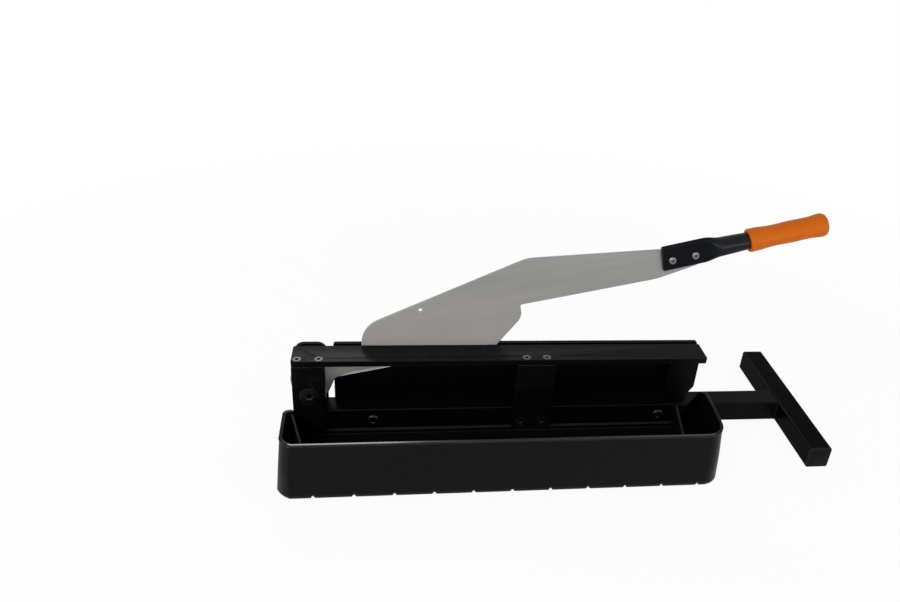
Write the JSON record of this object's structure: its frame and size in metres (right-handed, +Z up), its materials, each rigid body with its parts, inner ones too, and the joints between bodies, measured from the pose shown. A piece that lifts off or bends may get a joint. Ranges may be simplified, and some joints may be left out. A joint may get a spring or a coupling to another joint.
{
  "type": "laminate cutter",
  "caption": "Lever-arm cutter for laminate floor boards: hinged steel blade over a tube base, with an orange grip and a loose waste tray.",
  "frame": {"origin": "middle of the beam's underside, on the ground", "axes": "+X along the beam towards the cross foot, +Y away from the waste tray, +Z up"},
  "size_m": [0.6954, 0.2564, 0.3065],
  "materials": {
    "beam": "satin black paint over welded steel",
    "cross_foot": "satin black paint over welded steel",
    "pivot_post": "satin black paint over welded steel",
    "middle_post": "satin black paint over welded steel",
    "end_post": "satin black paint over welded steel",
    "front_rail": "satin black paint over welded steel",
    "anvil_plate": "satin black paint over welded steel",
    "pivot_cheek": "satin black paint over welded steel",
    "handle_tube": "black paint, glossy on the tube and matter on the flat lap",
    "beam_cap": "moulded black plastic plug",
    "foot_cap_front": "moulded black plastic plug",
    "foot_cap_rear": "moulded black plastic plug",
    "post_bolt_1": "black oxide on steel fasteners",
    "post_bolt_2": "black oxide on steel fasteners",
    "post_bolt_3": "black oxide on steel fasteners",
    "anvil_bolt_1": "black oxide on steel fasteners",
    "anvil_bolt_2": "black oxide on steel fasteners",
    "rail_screw_1": "black oxide on steel fasteners",
    "rail_screw_2": "black oxide on steel fasteners",
    "rail_screw_3": "black oxide on steel fasteners",
    "rail_screw_4": "black oxide on steel fasteners",
    "pivot_bolt": "black oxide on steel fasteners",
    "bolt_washer_1": "bright zinc plating",
    "bolt_washer_2": "bright zinc plating",
    "bolt_washer_3": "bright zinc plating",
    "bolt_washer_4": "bright zinc plating",
    "bolt_washer_5": "bright zinc plating",
    "bolt_nut_1": "bright zinc plating",
    "bolt_nut_2": "bright zinc plating",
    "bolt_nut_3": "bright zinc plating",
    "bolt_nut_4": "bright zinc plating",
    "bolt_nut_5": "bright zinc plating",
    "handle_screw_1": "bright zinc plating",
    "handle_screw_2": "bright zinc plating",
    "handle_washer_1": "bright zinc plating",
    "handle_washer_2": "bright zinc plating",
    "handle_nut_1": "bright zinc plating",
    "handle_nut_2": "bright zinc plating",
    "pivot_sleeve": "bright zinc plating",
    "pivot_washer": "bright zinc plating",
    "pivot_nut": "bright zinc plating",
    "disc_spring_1": "plain spring steel",
    "disc_spring_2": "plain spring steel",
    "pivot_bush": "plain bronze bush",
    "blade": "satin ground steel with a brighter ground bevel",
    "grip": "fine-grained orange plastic",
    "waste_tray": "satin black moulded plastic"
  },
  "bodies": {
    "base": {"beam": "beam", "cross_foot": "cross_foot", "pivot_post": "pivot_post", "middle_post": "middle_post", "end_post": "end_post", "front_rail": "front_rail", "anvil_plate": "anvil_plate", "pivot_cheek": "pivot_cheek", "beam_cap": "beam_cap", "foot_cap_front": "foot_cap_front", "foot_cap_rear": "foot_cap_rear", "post_bolt_1": "post_bolt_1", "post_bolt_2": "post_bolt_2", "post_bolt_3": "post_bolt_3", "anvil_bolt_1": "anvil_bolt_1", "anvil_bolt_2": "anvil_bolt_2", "rail_screw_1": "rail_screw_1", "rail_screw_2": "rail_screw_2", "rail_screw_3": "rail_screw_3", "rail_screw_4": "rail_screw_4", "pivot_bolt": "pivot_bolt", "bolt_washer_1": "bolt_washer_1", "bolt_washer_2": "bolt_washer_2", "bolt_washer_3": "bolt_washer_3", "bolt_washer_4": "bolt_washer_4", "bolt_washer_5": "bolt_washer_5", "bolt_nut_1": "bolt_nut_1", "bolt_nut_2": "bolt_nut_2", "bolt_nut_3": "bolt_nut_3", "bolt_nut_4": "bolt_nut_4", "bolt_nut_5": "bolt_nut_5", "pivot_sleeve": "pivot_sleeve", "pivot_washer": "pivot_washer", "pivot_nut": "pivot_nut", "disc_spring_1": "disc_spring_1", "disc_spring_2": "disc_spring_2"},
    "arm": {"blade": "blade", "pivot_bush": "pivot_bush", "handle_tube": "handle_tube", "grip": "grip", "handle_screw_1": "handle_screw_1", "handle_screw_2": "handle_screw_2", "handle_washer_1": "handle_washer_1", "handle_washer_2": "handle_washer_2", "handle_nut_1": "handle_nut_1", "handle_nut_2": "handle_nut_2"},
    "tray": {"waste_tray": "waste_tray"}
  },
  "joints": [
    {"name": "arm_hinge", "type": "hinge", "parent": "base", "child": "arm", "pos_m": [-0.308, 0.0128, 0.06], "axis": [0, -1, 0], "range_deg": [-12, 43]},
    {"name": "tray_lift", "type": "slide", "parent": "base", "child": "tray", "axis": [0, 0, 1], "range_m": [0, 0.15]}
  ]
}
